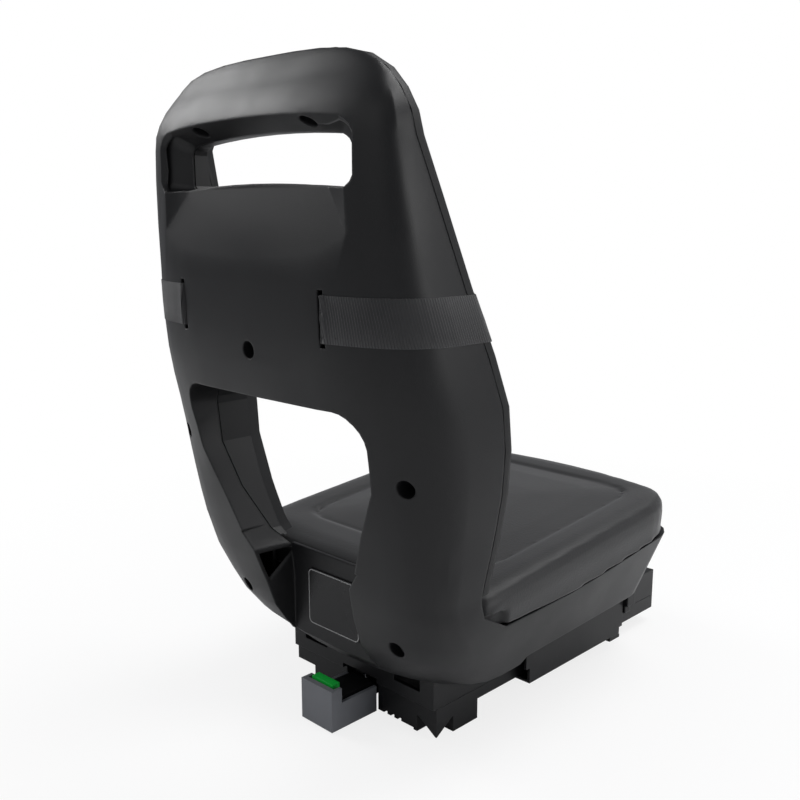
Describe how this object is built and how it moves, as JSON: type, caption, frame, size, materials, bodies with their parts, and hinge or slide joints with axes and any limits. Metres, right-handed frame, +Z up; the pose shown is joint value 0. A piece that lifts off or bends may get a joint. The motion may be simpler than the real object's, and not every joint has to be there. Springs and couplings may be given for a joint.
{
  "type": "rear child bike seat",
  "caption": "Rear child bike seat: moulded bucket with a grip opening in its high back, padded back and seat, belt, and a rack adapter with a pull lock.",
  "frame": {"origin": "on the ground below the middle of the adapter", "axes": "+Y forward, the way the seated child faces; +Z up; +X to the right side of the seat"},
  "size_m": [0.3164, 0.4382, 0.515],
  "materials": {
    "shell_plastic": "fine grained black moulding",
    "pad_foam": "grained foam skin, near black",
    "cushion_foam": "grained foam skin with a soft sheen, charcoal",
    "black_plastic": "black technical moulding",
    "label_black": "bare black plate with a thin light outline",
    "webbing": "ribbed black webbing",
    "buckle_plastic": "black moulding",
    "black_steel": "black coated sheet",
    "grey_plastic": "mid grey moulding",
    "green_plastic": "bright green",
    "white_plastic": "white",
    "spring_steel": "bare spring wire",
    "screw_steel": "dark zinc"
  },
  "bodies": {
    "seat": {"rear_shell": "shell_plastic", "back_panel": "shell_plastic", "back_pad": "pad_foam", "seat_board": "black_plastic", "seat_cushion": "cushion_foam", "label_plate": "label_black", "belt_webbing": "webbing", "buckle_socket": "buckle_plastic", "buckle_tongue": "buckle_plastic", "belt_slider": "buckle_plastic", "handle_screw_left": "screw_steel", "handle_screw_right": "screw_steel", "centre_screw": "screw_steel", "leg_screw_left": "screw_steel", "leg_screw_right": "screw_steel", "foot_screw_left": "screw_steel", "foot_screw_right": "screw_steel", "adapter_tray": "black_plastic", "adapter_frame": "black_plastic", "side_plate_left": "black_steel", "side_plate_right": "black_steel", "lock_tongue": "black_plastic", "indicator_green": "green_plastic", "indicator_white": "white_plastic", "lock_spring_left": "spring_steel", "lock_spring_right": "spring_steel", "plate_bolt_1": "screw_steel", "plate_bolt_2": "screw_steel", "plate_bolt_3": "screw_steel", "plate_bolt_4": "screw_steel", "board_screw_1": "screw_steel", "board_screw_2": "screw_steel", "board_screw_3": "screw_steel", "board_screw_4": "screw_steel", "seat_bolt_1": "screw_steel", "seat_bolt_2": "screw_steel", "seat_bolt_3": "screw_steel", "seat_bolt_4": "screw_steel", "seat_nut_1": "screw_steel", "seat_nut_2": "screw_steel", "seat_nut_3": "screw_steel", "seat_nut_4": "screw_steel"},
    "lock": {"lock_handle": "grey_plastic", "lock_slide": "black_plastic"}
  },
  "joints": [
    {"name": "lock_pull", "type": "slide", "parent": "seat", "child": "lock", "axis": [0, -1, 0], "range_m": [0, 0.018], "stiffness_N_per_m": 300, "springref_m": -0.01, "deforming": ["lock_spring_left", "lock_spring_right"]}
  ]
}
